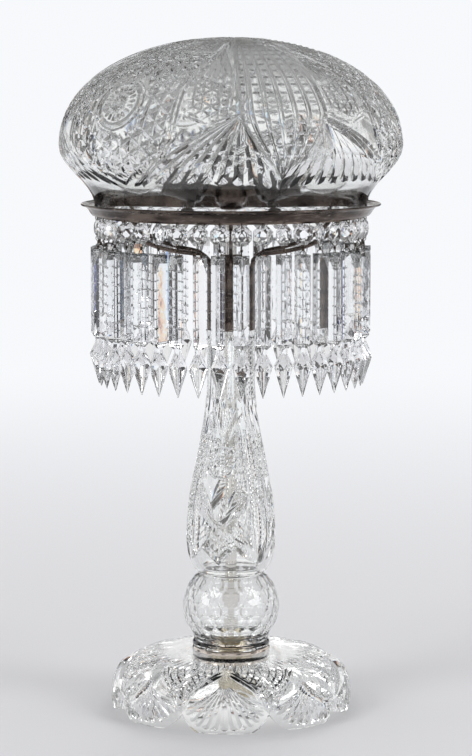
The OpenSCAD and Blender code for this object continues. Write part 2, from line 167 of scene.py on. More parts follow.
def groove(surface, path, depth, slope=1.1, rise=0.8):
    """A mitre cut along a path of places, with one depth or one for each. Both ends run out to points."""
    path = np.asarray(path, float)
    depth = np.broadcast_to(np.asarray(depth, float), len(path)).copy()
    depth[0] = depth[-1] = -rise
    p, n = surface.at(path[:, 0], path[:, 1])
    along = np.gradient(p, axis=0)
    side = np.cross(n, along)
    side /= np.linalg.norm(side, axis=1)[:, None]
    half = np.maximum((depth + rise) * slope, 0.03)[:, None]
    grid = np.stack([p - side * half, p, p + side * half], 1)
    deep = np.stack([np.full(len(p), -rise), depth, np.full(len(p), -rise)], 1)
    return slab(grid, np.repeat(n[:, None], 3, 1), deep, rise)


def swell(count, deepest, peak=0.5):
    """Depths along a leaf cut, nothing at its ends and deepest at its peak."""
    t = np.linspace(0, 1, count)
    return deepest * np.where(t < peak, np.sin(np.pi / 2 * t / peak),
                              np.sin(np.pi / 2 * (1 - t) / (1 - peak)))


def leaf(surface, a, b, deepest, count=9, peak=0.5, slope=1.1):
    return groove(surface, surface.straight(a, b, count), swell(count, deepest, peak), slope)


def line_cut(surface, a, b, deep, count=11, slope=1.1):
    return groove(surface, surface.straight(a, b, count), deep, slope)


def fan(surface, apex, tips, deep, start=0.06, slope=1.2, rise=1.2):
    """Leaf cuts that spread from one apex to their tips, side by side, with sharp ridges between them."""
    rows = np.array([start, 0.2, 0.4, 0.6, 0.76, 0.87, 0.95, 1.0])
    depth_along = np.array([0.15, 0.42, 0.72, 0.95, 1.0, 0.75, 0.25, -1.0])
    paths = np.array([surface.straight(apex, tip, 101)[np.round(rows * 100).astype(int)] for tip in tips])
    p, n = surface.at(paths[..., 0], paths[..., 1])
    count = len(tips)
    columns, normals, deeps = [], [], []
    for k in range(count):
        valley = depth_along * deep
        valley[-1] = -rise
        gap = []
        for other in (k - 1, k + 1):
            other = other if 0 <= other < count else 2 * k - other
            gap.append(np.linalg.norm(p[other] - p[k], axis=1) / 2)
        if k == 0:
            columns.append(p[0] + (p[0] - p[1]) / 2)
            normals.append(n[0])
            deeps.append(valley - gap[1] / slope)
        columns.append(p[k]); normals.append(n[k]); deeps.append(valley)
        if k + 1 < count:
            columns.append((p[k] + p[k + 1]) / 2); normals.append(n[k])
        else:
            columns.append(p[k] + (p[k] - p[k - 1]) / 2); normals.append(n[k])
        deeps.append(valley - gap[1] / slope)
    return slab(np.stack(columns, 1), np.stack(normals, 1), np.stack(deeps, 1), rise)


def star(surface, centre, radii, valleys, points, rise=1.0, ridge=-0.25, turn=0.0):
    """A ring of mitre cuts round a centre: valleys gives their depth at each of the radii."""
    c, across, upward = facing(surface, centre)
    a = np.radians(np.arange(points * 2) * 180 / points + turn)
    ring = np.cos(a)[:, None] * across + np.sin(a)[:, None] * upward
    places = surface.place(c + np.asarray(radii)[:, None, None] * ring[None])
    p, n = surface.at(places[..., 0], places[..., 1])
    depth = np.empty(p.shape[:2])
    depth[:, 0::2] = np.asarray(valleys)[:, None]
    width = np.asarray(radii) * math.radians(180 / points)
    depth[:, 1::2] = np.minimum(np.asarray(valleys) - width / 1.3, ridge)[:, None]
    return slab(p[::-1], n[::-1], depth[::-1], rise, ring=True)


def diamonds(surface, corners, across, along, deep, rise=0.8, crown=0.12):
    """Small pyramids over a four-sided field. crown is how far their points stay under the surface."""
    a, b, c, d = (np.array(p, float) for p in corners)
    u = np.linspace(0, 1, 2 * across + 1)[None, :, None]
    v = np.linspace(0, 1, 2 * along + 1)[:, None, None]
    places = (1 - v) * ((1 - u) * a + u * b) + v * ((1 - u) * d + u * c)
    p, n = surface.at(places[..., 0], places[..., 1])
    depth = np.full(p.shape[:2], deep)
    depth[1::2, 1::2] = crown
    return slab(p, n, depth, rise)


def new_mesh(name, verts, faces, scale=MM):
    mesh = bpy.data.meshes.new(name)
    mesh.from_pydata((np.asarray(verts) * scale).tolist(), [], faces)
    mesh.validate()
    piece = bpy.data.objects.new(name, mesh)
    bpy.context.scene.collection.objects.link(piece)
    return piece


def layers(cuts, cell=1.6):
    """Sorts cutters into layers whose members keep clear of each other."""
    stacks = []
    for verts, faces in cuts:
        tops = verts[: len(verts) // 2]
        quads = np.array([face for face in faces if len(face) == 4])
        edge = np.concatenate([quads[:, [0, 1]], quads[:, [0, 2]], quads[:, [1, 2]]])
        edge = edge[(edge < len(tops)).all(1)]
        t = np.linspace(0, 1, 9)[:, None, None]
        fill = (tops[edge[:, 0]] * (1 - t) + tops[edge[:, 1]] * t).reshape(-1, 3)
        own = np.unique(np.floor(fill / cell).astype(int), axis=0)
        next_to = np.stack(np.meshgrid(*[(-1, 0, 1)] * 3), -1).reshape(-1, 3)
        near = np.unique((own[:, None] + next_to).reshape(-1, 3), axis=0)
        cells = set(map(tuple, own.tolist()))
        for members, taken in stacks:
            if not (cells & taken):
                break
        else:
            members, taken = [], set()
            stacks.append((members, taken))
        members.append((verts, faces))
        taken |= set(map(tuple, near.tolist()))
    return [members for members, _ in stacks]


def cut(blank, cuts):
    """Takes every cutter out of the blank, one layer after another."""
    tools = []
    for members in layers(cuts):
        verts, faces, base = [], [], 0
        for v, f in members:
            verts.append(v)
            faces += [tuple(k + base for k in face) for face in f]
            base += len(v)
        tool = new_mesh("cutter", np.concatenate(verts), faces)
        tools.append(tool)
        step = blank.modifiers.new("cut", "BOOLEAN")
        step.operation, step.solver, step.object = "DIFFERENCE", "MANIFOLD", tool
    finish_modifiers(blank)
    for tool in tools:
        bpy.data.objects.remove(tool)
    return blank


def finish_modifiers(piece):
    view = bpy.context.evaluated_depsgraph_get()
    view.update()
    done = bpy.data.meshes.new_from_object(piece.evaluated_get(view))
    piece.modifiers.clear()
    piece.data = done
    done.name = piece.name


def turned_solid(name, outer, inner, around):
    """A closed shell turned from an outer and an inner line that both run from top to bottom."""
    line = list(outer) + list(inner)[::-1]
    verts, faces, rows = [], [], []
    for r, z in line:
        if r < 1e-6:
            rows.append([len(verts)]); verts.append((0, 0, z))
            continue
        rows.append(list(range(len(verts), len(verts) + around)))
        verts += [(r * math.cos(a), r * math.sin(a), z) for a in np.arange(around) * 2 * math.pi / around]
    pairs = list(zip(rows, rows[1:]))
    if len(rows[0]) > 1:
        pairs.append((rows[-1], rows[0]))
    for up, low in pairs:
        for k in range(around):
            j = (k + 1) % around
            if len(up) == 1:
                faces.append((up[0], low[k], low[j]))
            elif len(low) == 1:
                faces.append((up[k], low[0], up[j]))
            else:
                faces.append((up[k], low[k], low[j], up[j]))
    return new_mesh(name, verts, faces)


def crisp(piece, angle):
    piece.data.shade_smooth()
    piece.data.set_sharp_from_angle(angle=math.radians(angle))


# ---- the shade's cutting


def shade_cuts(dome):
    cuts = []
    ladder_half = lambda v: 15.2 * (1.0 if v < 160 else float(cosine_fall(min((v - 160) / 82, 1))))
    panel = [(-33, 84), (33, 84), (27.6, 114), (25, 140), (23.6, 165), (22.4, 189), (18.6, 205),
             (11.6, 222), (0, 238), (-11.6, 222), (-18.6, 205), (-22.4, 189), (-23.6, 165), (-25, 140),
             (-27.6, 114)]
    kite = [(33.0, 124), (18.0, 134), (16.2, 166), (25.0, 174), (33.6, 167.5)]
    for centre in (18, 138, 258):
        crown = [(centre, v) for v in (20, 13, 7, 0.5)] + [(centre + 180, v) for v in (7, 13, 20)]
        cuts.append(groove(dome, crown, [0, 1.6, 2.2, 2.4, 2.2, 1.6, 0], slope=1.3))
        runs = np.concatenate([np.linspace(3, 160, 18), np.linspace(168, 241, 12)])
        half = np.array([ladder_half(v) for v in runs])
        column = np.radians(half / 3) * np.array([np.hypot(*dome.at(0, v)[0][:2]) for v in runs])
        for share in (-1, 1):
            deep = np.interp(runs, [0, 30, 60, 130, 241], [3.0, 2.6, 1.9, 2.1, 2.2])
            cuts.append(groove(dome, np.stack([centre + share * half, runs], 1), deep))
        for k in range(6):
            for inside, wide, from_run in ((0.60, 0.05, 60), (0.84, 0.112, 34)):
                if k == 5 and inside > 0.7:
                    continue
                keep = (runs > from_run) & (runs < 234)
                path = np.stack([centre + half * ((k + inside) / 3 - 1), runs], 1)[keep]
                cuts.append(groove(dome, path, np.clip(column * wide, 0.3, 1.8)[keep]))
            for v in np.arange(52, 230, 9.4):
                h = ladder_half(v) / 3
                if h * math.radians(1) * np.hypot(*dome.at(0, v)[0][:2]) < 4:
                    continue
                step = [(centre + h * (k + share - 3), v) for share in (-0.02, 0.03, 0.26, 0.49, 0.54)]
                cuts.append(groove(dome, step, [0, 1.15, 1.3, 1.15, 0], slope=1.1))
        for side in (-1, 1):
            def at(phi, v):
                return (centre + side * phi, v)
            tips = [at(p, v) for p, v in ((3.6, 240), (9.5, 237), (15.5, 237), (21.5, 236), (27.5, 235),
                                          (33.5, 235), (39.5, 235), (46, 236), (53, 238))]
            cuts.append(fan(dome, at(14.6, 168), tips, 3.0))
            field = [at(*corner) for corner in kite]
            for angle in (90, 30, -30):
                cuts += lattice(dome, at(24.6, 151), angle, 7.4, 1.15, field)
            cuts.append(star(dome, at(24.6, 151), [1.0, 2.6, 4.4, 5.6], [0.3, 0.8, 0.8, -0.95], 8))
            cuts.append(fan(dome, at(22.8, 68), [at(p, v) for p, v in (
                (32.4, 122), (29.4, 129), (26.4, 132), (23.4, 133), (20.4, 133), (17.6, 134))], 1.9))
            cuts.append(leaf(dome, at(34.0, 168.5), at(25.0, 176.5), 1.4))
            cuts.append(leaf(dome, at(15.4, 167), at(25.0, 176.5), 1.4))
            edge = [at(p, v) for p, v in ((19, 46), (24, 78), (31.5, 112), (34.6, 140), (35.6, 165),
                                          (36.5, 189), (40, 205), (47, 222), (56, 238))]
            for shift in (0, 2.6):
                path = np.array([(t + side * shift * (1 - k / 12), v) for k, (t, v) in enumerate(edge)])
                fine = np.linspace(0, len(edge) - 1, 33)
                path = np.stack([np.interp(fine, range(len(edge)), path[:, k]) for k in (0, 1)], -1)
                cuts.append(groove(dome, path, 1.5))
        hob = centre - 60
        middle = (hob, 157)
        cuts.append(star(dome, middle, [1.6, 3.6, 7.2, 9.4], [0.4, 1.0, 1.1, -0.95], 16))
        cuts.append(star(dome, middle, [9.8, 11.6, 14.6, 17.0, 18.2], [-0.95, 0.9, 1.4, 0.9, -0.95], 18,
                         turn=10))
        for radius, deep, slope in ((21.0, 0.9, 2.9), (25.4, 0.9, 1.3)):
            path = [around(dome, middle, radius, a) for a in np.arange(0, 441, 9)]
            for k in range(2):
                cuts.append(groove(dome, path[k * 20: k * 20 + 24], deep, slope))
        field = [(hob + phi, v) for phi, v in panel]
        for angle, pitch, deep in ((90, 10.8, 2.1), (34, 13.0, 2.1), (-34, 13.0, 2.1)):
            cuts += lattice(dome, middle, angle, pitch, deep, field, hole=27.5)
        for s in (-1, 1):
            for bearing, reach in ((-62, 66), (-118, 66), (58, 60), (122, 60)):
                cuts.append(line_cut(dome, around(dome, middle, 27, bearing + s * 40),
                                     around(dome, middle, reach, bearing), 0.8))
        top = [(hob - 36, 32), (hob + 36, 32), (hob + 33, 82), (hob - 33, 82)]
        cuts.append(diamonds(dome, top, 10, 9, 1.1))
        cuts.append(fan(dome, (hob, 5), [(hob + s, 32) for s in (-36, -24, -12, 0, 12, 24, 36)][::-1], 1.4))
    return cuts


def inside_of(places, outline):
    """Which places lie inside an outline of places."""
    x, y = places[:, 0], places[:, 1]
    within = np.zeros(len(places), bool)
    for (x0, y0), (x1, y1) in zip(outline, outline[1:] + outline[:1]):
        if y0 != y1:
            within ^= ((y0 > y) != (y1 > y)) & (x < (x1 - x0) * (y - y0) / (y1 - y0) + x0)
    return within


def lattice(surface, centre, angle, pitch, deep, outline, hole=0.0, reach=130):
    """Straight cuts side by side across an outlined field, left out over a round hole in its middle."""
    c, across, upward = facing(surface, centre)
    a = math.radians(angle)
    along, over = math.cos(a) * across + math.sin(a) * upward, math.cos(a) * upward - math.sin(a) * across
    spots = np.arange(-reach, reach + 0.1, 1.0)
    cuts = []
    for shift in np.arange(-math.floor(reach / pitch), reach / pitch) * pitch:
        places = surface.place(c + spots[:, None] * along + shift * over)
        places[:, 0] = centre[0] + (places[:, 0] - centre[0] + 180) % 360 - 180
        keep = inside_of(places, outline) & (np.hypot(spots, shift) > hole)
        ends = np.flatnonzero(np.diff(np.concatenate([[0], keep.astype(int), [0]])))
        for first, last in zip(ends[::2], ends[1::2]):
            if last - first >= 5:
                count = max(4, (last - first) // 6)
                pick = np.unique(np.linspace(first, last - 1, count).round().astype(int))
                cuts.append(groove(surface, places[pick], deep))
    return cuts


def around(surface, centre, radius, angle):
    """A place at a distance and bearing from another."""
    c, across, upward = facing(surface, centre)
    a = math.radians(angle)
    return tuple(surface.place((c + radius * (math.cos(a) * across + math.sin(a) * upward))[None])[0])


def dimple(surface, centre, radius, deep, count=9, rise=0.8):
    """A shallow round hollow, ground on the face of a wheel."""
    c, across, upward = facing(surface, centre)
    k = np.linspace(-1.2, 1.2, count) * radius
    spots = c + k[:, None, None] * upward + k[None, :, None] * across
    places = surface.place(spots)
    p, n = surface.at(places[..., 0], places[..., 1])
    depth = deep * (1 - (k[:, None] ** 2 + k[None, :] ** 2) / radius ** 2)
    return slab(p, n, depth, rise)


# ---- the standard: neck, vase, waist and knop


def standard_line(bore):
    waist_a, foot_a = math.asin((119.8 - 92) / 41.5), math.asin((92 - 66.5) / 41.5)
    line = [(21.5, 342.0), (21.5, 320.0)]
    line += [(21.5 + 18.7 * float(cosine_fall(t)), 156 + 144 * t) for t in np.linspace(1, 0, 40)]
    line += [(28.4 + 11.8 * math.sin(a), 156 - 32.3 * math.cos(a))
             for a in np.radians(np.linspace(84, 15, 18))]
    line += [(30.0, 124.1), (29.2, 123.2), (29.0, 122.2), (29.4, 121.3), (30.4, 120.6)]
    line += [(43.4 * math.cos(a), 92 + 41.5 * math.sin(a)) for a in np.linspace(waist_a, -foot_a, 40)]
    line += [(33.0, 61.4), (34.3, 60.0), (34.8, 58.2), (34.5, 56.6), (33.8, 55.5)]
    if not bore:
        return line
    radius, height = np.array(line[::-1]).T
    soft = [np.interp(z + np.linspace(-8, 8, 17), height, radius).mean() for _, z in line]
    return [(22.0 if z < 59.5 else max(r - 7 if z > 330 or z < 72 else s - 7.5, 13.5), z)
            for (r, z), s in zip(line, soft)]


def standard_cuts(side):
    at = lambda t, z: (t, side.down(z))
    cuts = []
    for k in range(16):
        t = 22.5 * k
        flute = [at(t, z) for z in np.linspace(339, 277, 13)]
        cuts.append(groove(side, flute, np.concatenate([[0], np.full(11, 2.0), [0]]), slope=1.8))
        if k % 2 == 0:
            for z in np.arange(334, 281, -4.6):
                cuts.append(leaf(side, at(t + 11.25 - 9, z), at(t + 11.25 + 9, z), 1.0, 5, slope=1.2))
    for petal in (43, 163, 283):
        half = lambda z: float(np.interp(z, [133, 142, 151, 181, 212, 240, 262, 272],
                                         [0, 3, 6, 11.5, 14, 12, 5, 0]))
        heights = np.linspace(271, 134, 34)
        for share in (-1, -0.33, 0.33, 1):
            cuts.append(groove(side, [at(petal + share * half(z), z) for z in heights],
                               2.2 if abs(share) == 1 else 1.5))
        for z in np.arange(258, 146, -4.2):
            for share in (-0.66, 0, 0.66):
                wide = half(z) * 0.33
                if wide > 1.4:
                    t = petal + share * half(z)
                    cuts.append(leaf(side, at(t - wide, z), at(t + wide, z), 2.0, 5, slope=1.0))
        hob = petal - 60
        cuts.append(star(side, at(hob, 227), [1.4, 3, 5.2, 6.4], [0.7, 1.6, 1.6, -0.95], 8))
        cuts.append(star(side, at(hob, 227), [6.8, 8.4, 10.4, 12, 12.8], [-0.95, 1.5, 2.2, 1.2, -0.95], 12,
                         turn=15))
        for k in range(2):
            path = [around(side, at(hob, 227), 14.2, a) for a in np.arange(180 * k - 6, 180 * k + 187, 9)]
            cuts.append(groove(side, path, 1.5))
        for way in (-1, 1):
            band = [at(hob + way * t, z) for t, z in ((-46, 196), (-30, 186), (-14, 177), (0, 169),
                                                      (12, 161), (26, 152), (40, 143), (52, 136))]
            cuts.append(groove(side, band, 2.3, slope=1.4))
            band = [at(hob + way * t, z) for t, z in ((-46, 201), (-30, 191), (-14, 182), (0, 174))]
            cuts.append(groove(side, band, 1.3))
            cuts.append(fan(side, at(hob + way * 50, 147), [at(hob + way * t, z) for t, z in
                        ((13, 166), (17, 171), (22, 176), (27, 181), (33, 186), (39, 190))], 2.5))
            cuts.append(fan(side, at(hob + way * 44, 198), [at(hob + way * t, z) for t, z in
                        ((13, 186), (14, 192), (17, 198), (21, 203), (26, 207))], 2.2))
            field = [at(hob + way * 25, 250), at(hob + way * 45, 250), at(hob + way * 43, 211),
                     at(hob + way * 23, 211)]
            cuts.append(diamonds(side, field, 3, 6, 2.4))
            cuts.append(leaf(side, at(hob + way * 46, 272), at(hob + way * 12, 244), 2.4, 11))
            cuts.append(leaf(side, at(hob + way * 30, 208), at(hob + way * 4, 176), 2.2, 11))
        tips = [at(hob + t, 276) for t in (-30, -20, -10, 0, 10, 20, 30)]
        cuts.append(fan(side, at(hob, 244), tips, 2.4))
        field = [at(hob, 167), at(hob + 25, 151), at(hob, 135), at(hob - 25, 151)]
        cuts.append(diamonds(side, field, 4, 4, 2.2))
    for row, z in enumerate((71, 82.5, 94, 105.5, 116)):
        count = 18
        for k in range(count):
            cuts.append(dimple(side, at(360 / count * (k + row % 2 / 2), z), 7.4, 1.0))
    return cuts


# ---- the lobed base


class Lobed(Turned):
    """The base's side: a turned line whose lobes draw in between them, most at the rim."""

    def at(self, turn, run):
        turn, run = np.broadcast_arrays(np.asarray(turn, float), np.asarray(run, float))
        def spot(t, v):
            r, z = (np.interp(v, self.run, self.line[:, k]) for k in (0, 1))
            off = np.radians((t - LOBE_TURN + 180 / LOBES) % (360 / LOBES) - 180 / LOBES)
            reach = 57.5 * np.cos(off) + np.sqrt(52 ** 2 - (57.5 * np.sin(off)) ** 2)
            fade = np.interp(z, [0, 16, 44, 52], [1.0, 1.0, 0.55, 0.0])
            dip = (1 - np.minimum(reach, BASE_R) / BASE_R) * fade
            r = r * (1 - dip)
            a = np.radians(t - 90)
            return np.stack([r * np.cos(a), r * np.sin(a), z], -1)
        p = spot(turn, run)
        n = np.cross(spot(turn + 0.4, run) - spot(turn - 0.4, run),
                     spot(turn, run - 0.4) - spot(turn, run + 0.4))
        return p, n / np.maximum(np.linalg.norm(n, axis=-1), 1e-9)[..., None]


LOBES = 8
LOBE_TURN = -3.0
BASE_R = 108.5
BASE_H = 52.0


def base_line(inset, steps=30):
    a = np.radians(np.linspace(90, 0, steps))
    reach, rise, power = BASE_R - inset, 42.6 - inset, 2 / 3.4
    return [(reach * max(math.cos(t), 0) ** power, min(BASE_H - inset, 10 + rise * math.sin(t) ** power))
            for t in a]


def base_blank(side, around_count=288):
    """Lobed dome over a turned hollow, closed along its rim and round its centre hole."""
    turns = np.arange(around_count) * 360 / around_count
    outer = [(r, z) for r, z in base_line(0, 48) if r > 7]
    outer = [(6.6, BASE_H)] + outer + [(BASE_R - 0.6, 5.0), (BASE_R - 2, 0.0)]
    side_full = Lobed(outer, lambda r, z: -z)
    ring = [side_full.at(turns, v)[0] for v in side_full.run]
    inner = [(r, z) for r, z in base_line(14, 24) if r > 7]
    inner = [(6.6, BASE_H - 14)] + inner + [(BASE_R - 14, 0.0)]
    plain = Turned(inner, lambda r, z: -z)
    ring += [plain.at(turns, v)[0] for v in plain.run[::-1]]
    verts = np.concatenate(ring)
    faces, rows = [], len(ring)
    for i in range(rows):
        up, low = i * around_count, (i + 1) % rows * around_count
        for k in range(around_count):
            j = (k + 1) % around_count
            faces.append((up + k, low + k, low + j, up + j))
    return new_mesh("Cut_base", verts, faces)


def arch_cut(turn):
    """A wedge that opens one arch under the rim between two lobes."""
    a = math.radians(turn - 90)
    out, over = np.array([math.cos(a), math.sin(a), 0]), np.array([-math.sin(a), math.cos(a), 0])
    section = [(17, -1), (9.35, 3.9), (4.25, 8.6), (1.2, 13), (-1.2, 13), (-4.25, 8.6), (-9.35, 3.9),
               (-17, -1)]
    verts = np.array([out * r + over * x + np.array([0, 0, z]) for r in (80.0, 120.0) for x, z in section])
    m = len(section)
    faces = [tuple(range(m))[::-1], tuple(range(m, 2 * m))]
    faces += [(k, (k + 1) % m, (k + 1) % m + m, k + m) for k in range(m)]
    return verts, faces


def base_cuts(side):
    at = lambda t, z: (t, side.down(z))
    cuts = []
    for k in range(LOBES):
        mid = LOBE_TURN + 45 * k
        tips = [at(mid + t, z) for t, z in zip((-20, -17, -13.6, -9.6, -5, 0, 5, 9.6, 13.6, 17, 20),
                                               (14, 8.5, 5, 3, 2, 1.6, 2, 3, 5, 8.5, 14))]
        cuts.append(fan(side, at(mid, 42.5), tips, 3.0, start=0.10, slope=1.25))
        for way in (-1, 1):
            for lift in (0, 1):
                arch = [at(mid + way * (t + lift * 0.6), z + lift * g) for t, z, g in
                        ((20.6, 15, 1), (20, 22, 2), (18, 30, 2.4), (14, 37, 2.4), (9, 42, 2.2),
                         (4, 45.6, 1.6), (0.2, 47.2, 1.2))]
                cuts.append(groove(side, arch, 1.1 if lift else 1.4, slope=1.5))
        notch = mid + 22.5
        crease = [at(notch, z) for z in (14, 20, 28, 35, 41, 45, 48, 50)]
        cuts.append(groove(side, crease, np.array([0, 2.8, 2.6, 2.2, 1.9, 1.6, 1.2, 0]), slope=1.2))
        run = side.down
        half = [(0, run(17)), (3.2, run(27)), (8.0, run(36)), (14, run(43)), (20, run(47.4)),
                (22.4, run(48.6)), (22.4, 52), (0, 52)]
        for way in (-1, 1):
            field = [(notch + way * phi, v) for phi, v in half]
            for angle in (48, -48):
                cuts += lattice(side, (notch, run(42)), angle, 5.2, 1.15, field, reach=64)
    return cuts


# ---- a drop: button, wires, notched prism and spear


def hull_mesh(points):
    import bmesh
    bm = bmesh.new()
    for p in points:
        bm.verts.new(p)
    bmesh.ops.convex_hull(bm, input=bm.verts)
    bmesh.ops.dissolve_limit(bm, angle_limit=0.01, verts=bm.verts, edges=bm.edges)
    bmesh.ops.recalc_face_normals(bm, faces=bm.faces)
    verts = [tuple(v.co) for v in bm.verts]
    bm.verts.index_update()
    faces = [tuple(v.index for v in f.verts) for f in bm.faces]
    bm.free()
    return np.array(verts), faces


def polygon(radius, sides, turn, height):
    a = np.radians(np.arange(sides) * 360 / sides + turn)
    return [(radius * math.cos(t), radius * math.sin(t), height) for t in a]


def cylinder_mesh(centre, axis, radius, length, sides=16):
    axis = np.array(axis, float)
    u = np.cross(axis, [0, 1, 0] if abs(axis[1]) < 0.9 else [1, 0, 0]); u /= np.linalg.norm(u)
    w = np.cross(axis, u)
    a = np.arange(sides) * 2 * math.pi / sides
    ring = np.cos(a)[:, None] * u * radius + np.sin(a)[:, None] * w * radius
    verts = np.concatenate([centre + ring - axis * length / 2, centre + ring + axis * length / 2])
    faces = [(k, (k + 1) % sides, (k + 1) % sides + sides, k + sides) for k in range(sides)]
    faces += [tuple(range(sides))[::-1], tuple(range(sides, 2 * sides))]
    return verts, faces


def button_mesh():
    """Eight-sided brilliant: a table, star facets and main facets on both faces, pierced top and bottom."""
    k = 1 / math.cos(math.pi / 8)
    points = []
    for s in (-1, 1):
        points += polygon(8.7 * k, 8, 22.5, 0.55 * s)
        points += polygon(6.7 * k, 8, 0, 2.0 * s)
        points += polygon(3.9 * k, 8, 22.5, 3.5 * s)
    verts, faces = hull_mesh(points)
    verts = np.stack([verts[:, 2], verts[:, 1], -verts[:, 0]], 1)
    blank = new_mesh("button", verts + [0, 0, BUTTON_Z], faces, 1)
    holes = [cylinder_mesh(np.array([0, 0, BUTTON_Z + s * 6.9]), (1, 0, 0), 0.95, 20) for s in (-1, 1)]
    return cut_plain(blank, holes)


def cut_plain(blank, tools_data, operation="DIFFERENCE"):
    tools = []
    for verts, faces in tools_data:
        tool = new_mesh("tool", verts, faces, 1)
        tools.append(tool)
        step = blank.modifiers.new("cut", "BOOLEAN")
        step.operation, step.solver, step.object = operation, "MANIFOLD", tool
    finish_modifiers(blank)
    for tool in tools:
        bpy.data.objects.remove(tool)
    return blank


BUTTON_Z = 433.15
PIVOT_Z = 442.2
LINK_TOP_Z = 424.1
LINK_LOW_Z = 416.7
PRISM_TOP_Z = 416.2
TIP_Z = 294.5


def prism_mesh():
    """Three-sided bar with notched edges over a six-sided spear."""
    corner, blunt = 14.5 / math.sqrt(3), 0.9
    section = []
    for k in range(3):
        a = math.radians(120 * k)
        for s in (-1, 1):
            r = corner - blunt
            section.append((r * math.cos(a) - s * blunt * 0.577 * 3 ** 0.5 * math.sin(a) * 0.9,
                            r * math.sin(a) + s * blunt * 0.577 * 3 ** 0.5 * math.cos(a) * 0.9))
    low, high = TIP_Z + 42, PRISM_TOP_Z
    bar = hull_mesh([(x, y, z) for x, y in section for z in (low + 3.2, high)]
                    + [(x * 0.5, y * 0.5, low) for x, y in section])
    body = new_mesh("prism", bar[0], bar[1], 1)
    wedges = []
    for k in range(3):
        a = math.radians(120 * k)
        out, over = np.array([math.cos(a), math.sin(a), 0]), np.array([-math.sin(a), math.cos(a), 0])
        for j, z in enumerate(np.arange(low + 9, high - 8, 8.1)):
            wide, deep = (3.5, 1.4) if j % 2 else (2.7, 1.0)
            notch = [(corner + 2, z - wide), (corner + 2, z + wide), (corner - blunt - deep, z)]
            verts = np.array([out * r + over * x + np.array([0, 0, h])
                              for x in (-9.0, 9.0) for r, h in notch])
            faces = [(0, 1, 2), (5, 4, 3), (0, 3, 4, 1), (1, 4, 5, 2), (2, 5, 3, 0)]
            wedges.append((verts, [f[::-1] for f in faces]))
    shoulder = ((1.6, high + 1), (12, high + 1), (12, high - 24), (9, high - 20), (1.6, high))
    for s in (-1, 1):
        verts = np.array([(s * x, y, z) for y in (-12, 12) for x, z in shoulder])
        faces = [tuple(range(5)), tuple(range(5, 10))[::-1]]
        faces += [(k, k + 5, (k + 1) % 5 + 5, (k + 1) % 5) for k in range(5)]
        wedges.append((verts, faces if s > 0 else [f[::-1] for f in faces]))
    wedges.append(cylinder_mesh(np.array([0, 0, high - 1.9]), (1, 0, 0), 0.95, 20))
    body = cut_plain(body, wedges)
    spear = hull_mesh(polygon(0.3, 6, 0, TIP_Z) + polygon(8.2, 6, 0, TIP_Z + 24)
                      + polygon(8.5, 6, 30, TIP_Z + 27.5) + polygon(3.4, 6, 0, TIP_Z + 38))
    neck = hull_mesh(polygon(3.7, 6, 30, TIP_Z + 36) + polygon(3.5, 6, 30, TIP_Z + 44))
    return cut_plain(body, [neck, spear], "UNION")


# ---- making the pieces


def down(self, z):
    return float(np.interp(-z, -self.line[:, 1], self.run))


Turned.down = down


def stand_for(piece, body, slot, *names):
    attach(piece, body)
    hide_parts(*names)


dome = Turned(dome_line(0, 120), lambda r, z: -math.atan2(z - 470, max(r, 1e-6)))
shade = turned_solid("Cut_shade", dome_line(0, 66), dome_line(SHADE_WALL, 36), 180)
shade = cut(shade, shade_cuts(dome))
crisp(shade, 18)
stand_for(shade, "shade", "cut_glass", "shade_glass")

side = Turned(standard_line(False), lambda r, z: -z)
standard = turned_solid("Cut_standard", standard_line(False), standard_line(True), 144)
standard = cut(standard, standard_cuts(side))
crisp(standard, 18)
stand_for(standard, "stand", "cut_glass", "standard_glass")

rim = Lobed(base_line(0, 90) + [(BASE_R - 2, 0.0)], lambda r, z: -z)
base = cut(base_blank(rim), [arch_cut(LOBE_TURN + 22.5 + 45 * k) for k in range(LOBES)] + base_cuts(rim))
crisp(base, 18)
stand_for(base, "stand", "cut_glass", "base_glass")


# ---- the drops: button, wires and prism hang on a body of their own


def socket(tree, name, kind, default=None):
    entry = tree.interface.new_socket(name, in_out="INPUT", socket_type=kind)
    if default is not None:
        entry.default_value = default
    return entry.identifier


def wire_tree():
    """Sweeps a round wire along the piece's own edges."""
    tree = bpy.data.node_groups.new("Bent wire", "GeometryNodeTree")
    tree.interface.new_socket("Path", in_out="INPUT", socket_type="NodeSocketGeometry")
    thick = socket(tree, "Wire radius", "NodeSocketFloat", 0.00035)
    sides = socket(tree, "Sides", "NodeSocketInt", 6)
    finish = socket(tree, "Finish", "NodeSocketMaterial")
    tree.interface.new_socket("Wire", in_out="OUTPUT", socket_type="NodeSocketGeometry")
    new, link = tree.nodes.new, tree.links.new
    given, out = new("NodeGroupInput"), new("NodeGroupOutput")
    line, ring = new("GeometryNodeMeshToCurve"), new("GeometryNodeCurvePrimitiveCircle")
    sweep, real = new("GeometryNodeCurveToMesh"), new("GeometryNodeRealizeInstances")
    paint = new("GeometryNodeSetMaterial")
    sweep.inputs["Fill Caps"].default_value = True
    link(given.outputs["Path"], line.inputs[0])
    link(line.outputs[0], sweep.inputs["Curve"])
    link(given.outputs["Wire radius"], ring.inputs["Radius"])
    link(given.outputs["Sides"], ring.inputs["Resolution"])
    link(ring.outputs["Curve"], sweep.inputs["Profile Curve"])
    link(sweep.outputs[0], real.inputs[0])
    link(real.outputs[0], paint.inputs["Geometry"])
    link(given.outputs["Finish"], paint.inputs["Material"])
    link(paint.outputs[0], out.inputs[0])
    return tree, {"radius": thick, "sides": sides, "finish": finish}


